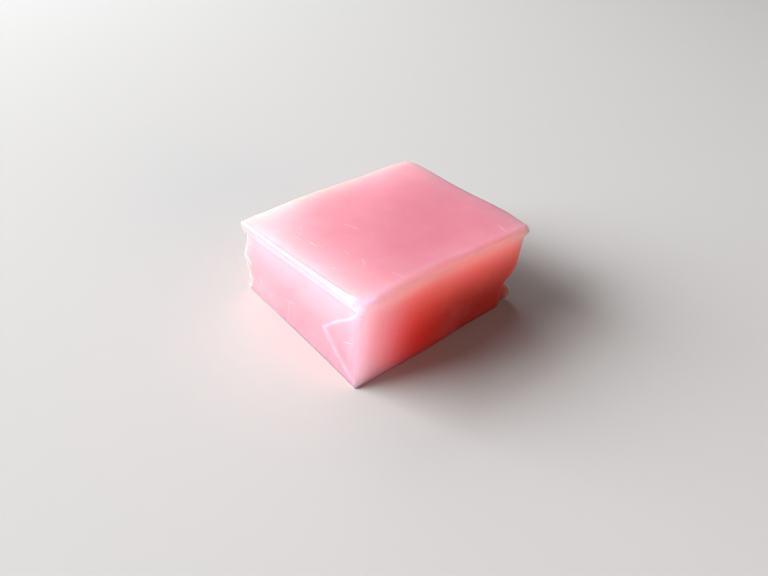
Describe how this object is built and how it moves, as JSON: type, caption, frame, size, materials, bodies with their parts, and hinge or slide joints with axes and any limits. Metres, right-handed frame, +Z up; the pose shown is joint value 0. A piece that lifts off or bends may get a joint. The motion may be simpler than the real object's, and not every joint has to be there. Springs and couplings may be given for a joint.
{
  "type": "uiro rice cake",
  "caption": "Rectangular cut block of pink steamed rice cake with soft edges, a thin top lip and torn, smeared corners.",
  "frame": {"origin": "middle of the block's flat underside", "axes": "+X along the long side, +Y along the short side towards the back, +Z up; the front side faces -Y"},
  "size_m": [0.0622, 0.0514, 0.0246],
  "materials": {
    "uiro": "moist translucent gel, satin to glossy"
  },
  "bodies": {
    "root": {"uiro_block": "uiro"}
  },
  "joints": []
}
